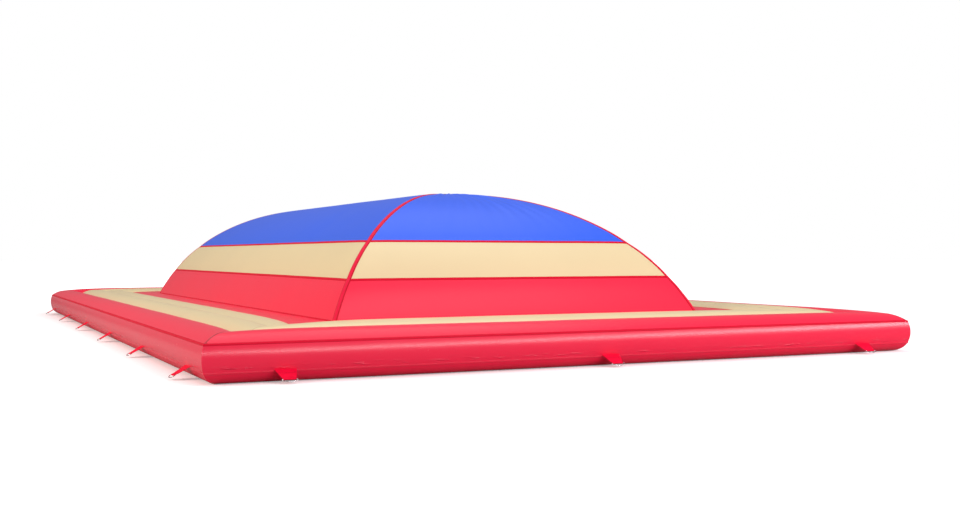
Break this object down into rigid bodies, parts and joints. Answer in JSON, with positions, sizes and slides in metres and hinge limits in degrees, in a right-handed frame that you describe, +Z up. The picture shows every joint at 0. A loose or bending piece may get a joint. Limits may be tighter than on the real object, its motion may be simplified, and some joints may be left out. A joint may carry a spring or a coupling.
{
  "type": "inflatable jumping mountain",
  "caption": "Inflatable air mat with a tubular border and padded deck round a long hipped air dome, held down by swinging metal rings on tapered tabs.",
  "frame": {"origin": "on the floor under the middle of the mat", "axes": "+X across the mat to the right, +Y along its length to the back, +Z up"},
  "size_m": [9.3786, 15.3786, 2.128],
  "materials": {
    "red_coated_fabric": "gloss",
    "beige_coated_fabric": "gloss",
    "blue_coated_fabric": "gloss",
    "seam_tape": "satin",
    "ring_steel": "polished"
  },
  "bodies": {
    "mat": {"anchor_tabs": "red_coated_fabric", "beige_band_back": "beige_coated_fabric", "beige_band_front": "beige_coated_fabric", "beige_band_left": "beige_coated_fabric", "beige_band_right": "beige_coated_fabric", "blue_band_back": "blue_coated_fabric", "blue_band_front": "blue_coated_fabric", "blue_band_left": "blue_coated_fabric", "blue_band_right": "blue_coated_fabric", "crown_back": "red_coated_fabric", "crown_front": "red_coated_fabric", "crown_left": "red_coated_fabric", "crown_right": "red_coated_fabric", "deck_back": "beige_coated_fabric", "deck_front": "beige_coated_fabric", "deck_inner_seam": "seam_tape", "deck_left": "beige_coated_fabric", "deck_outer_seam": "seam_tape", "deck_right": "beige_coated_fabric", "floor_sheet": "red_coated_fabric", "foot_seam": "seam_tape", "foot_strip_back": "red_coated_fabric", "foot_strip_front": "red_coated_fabric", "foot_strip_left": "red_coated_fabric", "foot_strip_right": "red_coated_fabric", "hip_tapes": "seam_tape", "lower_band_seam": "seam_tape", "lower_piping": "seam_tape", "red_band_back": "red_coated_fabric", "red_band_front": "red_coated_fabric", "red_band_left": "red_coated_fabric", "red_band_right": "red_coated_fabric", "ridge_tape": "seam_tape", "side_wall_back": "red_coated_fabric", "side_wall_front": "red_coated_fabric", "side_wall_left": "red_coated_fabric", "side_wall_right": "red_coated_fabric", "upper_band_seam": "seam_tape", "upper_piping": "seam_tape"},
    "ring_back_1": {"ring_back_1": "ring_steel"},
    "ring_back_2": {"ring_back_2": "ring_steel"},
    "ring_back_3": {"ring_back_3": "ring_steel"},
    "ring_front_1": {"ring_front_1": "ring_steel"},
    "ring_front_2": {"ring_front_2": "ring_steel"},
    "ring_front_3": {"ring_front_3": "ring_steel"},
    "ring_left_1": {"ring_left_1": "ring_steel"},
    "ring_left_2": {"ring_left_2": "ring_steel"},
    "ring_left_3": {"ring_left_3": "ring_steel"},
    "ring_left_4": {"ring_left_4": "ring_steel"},
    "ring_left_5": {"ring_left_5": "ring_steel"},
    "ring_left_6": {"ring_left_6": "ring_steel"},
    "ring_right_1": {"ring_right_1": "ring_steel"},
    "ring_right_2": {"ring_right_2": "ring_steel"},
    "ring_right_3": {"ring_right_3": "ring_steel"},
    "ring_right_4": {"ring_right_4": "ring_steel"},
    "ring_right_5": {"ring_right_5": "ring_steel"},
    "ring_right_6": {"ring_right_6": "ring_steel"}
  },
  "joints": [
    {"name": "ring_back_1_swing", "type": "hinge", "parent": "mat", "child": "ring_back_1", "pos_m": [-3.71, 7.64722, 0.045], "axis": [-1, 0, 0], "range_deg": [-150, 150]},
    {"name": "ring_back_2_swing", "type": "hinge", "parent": "mat", "child": "ring_back_2", "pos_m": [0, 7.64722, 0.045], "axis": [-1, 0, 0], "range_deg": [-150, 150]},
    {"name": "ring_back_3_swing", "type": "hinge", "parent": "mat", "child": "ring_back_3", "pos_m": [3.71, 7.64722, 0.045], "axis": [-1, 0, 0], "range_deg": [-150, 150]},
    {"name": "ring_front_1_swing", "type": "hinge", "parent": "mat", "child": "ring_front_1", "pos_m": [-3.71, -7.64722, 0.045], "axis": [1, 0, 0], "range_deg": [-150, 150]},
    {"name": "ring_front_2_swing", "type": "hinge", "parent": "mat", "child": "ring_front_2", "pos_m": [0, -7.64722, 0.045], "axis": [1, 0, 0], "range_deg": [-150, 150]},
    {"name": "ring_front_3_swing", "type": "hinge", "parent": "mat", "child": "ring_front_3", "pos_m": [3.71, -7.64722, 0.045], "axis": [1, 0, 0], "range_deg": [-150, 150]},
    {"name": "ring_left_1_swing", "type": "hinge", "parent": "mat", "child": "ring_left_1", "pos_m": [-4.64722, -6.78, 0.045], "axis": [0, -1, 0], "range_deg": [-150, 150]},
    {"name": "ring_left_2_swing", "type": "hinge", "parent": "mat", "child": "ring_left_2", "pos_m": [-4.64722, -4.068, 0.045], "axis": [0, -1, 0], "range_deg": [-150, 150]},
    {"name": "ring_left_3_swing", "type": "hinge", "parent": "mat", "child": "ring_left_3", "pos_m": [-4.64722, -1.356, 0.045], "axis": [0, -1, 0], "range_deg": [-150, 150]},
    {"name": "ring_left_4_swing", "type": "hinge", "parent": "mat", "child": "ring_left_4", "pos_m": [-4.64722, 1.356, 0.045], "axis": [0, -1, 0], "range_deg": [-150, 150]},
    {"name": "ring_left_5_swing", "type": "hinge", "parent": "mat", "child": "ring_left_5", "pos_m": [-4.64722, 4.068, 0.045], "axis": [0, -1, 0], "range_deg": [-150, 150]},
    {"name": "ring_left_6_swing", "type": "hinge", "parent": "mat", "child": "ring_left_6", "pos_m": [-4.64722, 6.78, 0.045], "axis": [0, -1, 0], "range_deg": [-150, 150]},
    {"name": "ring_right_1_swing", "type": "hinge", "parent": "mat", "child": "ring_right_1", "pos_m": [4.64722, -6.78, 0.045], "axis": [0, 1, 0], "range_deg": [-150, 150]},
    {"name": "ring_right_2_swing", "type": "hinge", "parent": "mat", "child": "ring_right_2", "pos_m": [4.64722, -4.068, 0.045], "axis": [0, 1, 0], "range_deg": [-150, 150]},
    {"name": "ring_right_3_swing", "type": "hinge", "parent": "mat", "child": "ring_right_3", "pos_m": [4.64722, -1.356, 0.045], "axis": [0, 1, 0], "range_deg": [-150, 150]},
    {"name": "ring_right_4_swing", "type": "hinge", "parent": "mat", "child": "ring_right_4", "pos_m": [4.64722, 1.356, 0.045], "axis": [0, 1, 0], "range_deg": [-150, 150]},
    {"name": "ring_right_5_swing", "type": "hinge", "parent": "mat", "child": "ring_right_5", "pos_m": [4.64722, 4.068, 0.045], "axis": [0, 1, 0], "range_deg": [-150, 150]},
    {"name": "ring_right_6_swing", "type": "hinge", "parent": "mat", "child": "ring_right_6", "pos_m": [4.64722, 6.78, 0.045], "axis": [0, 1, 0], "range_deg": [-150, 150]}
  ]
}
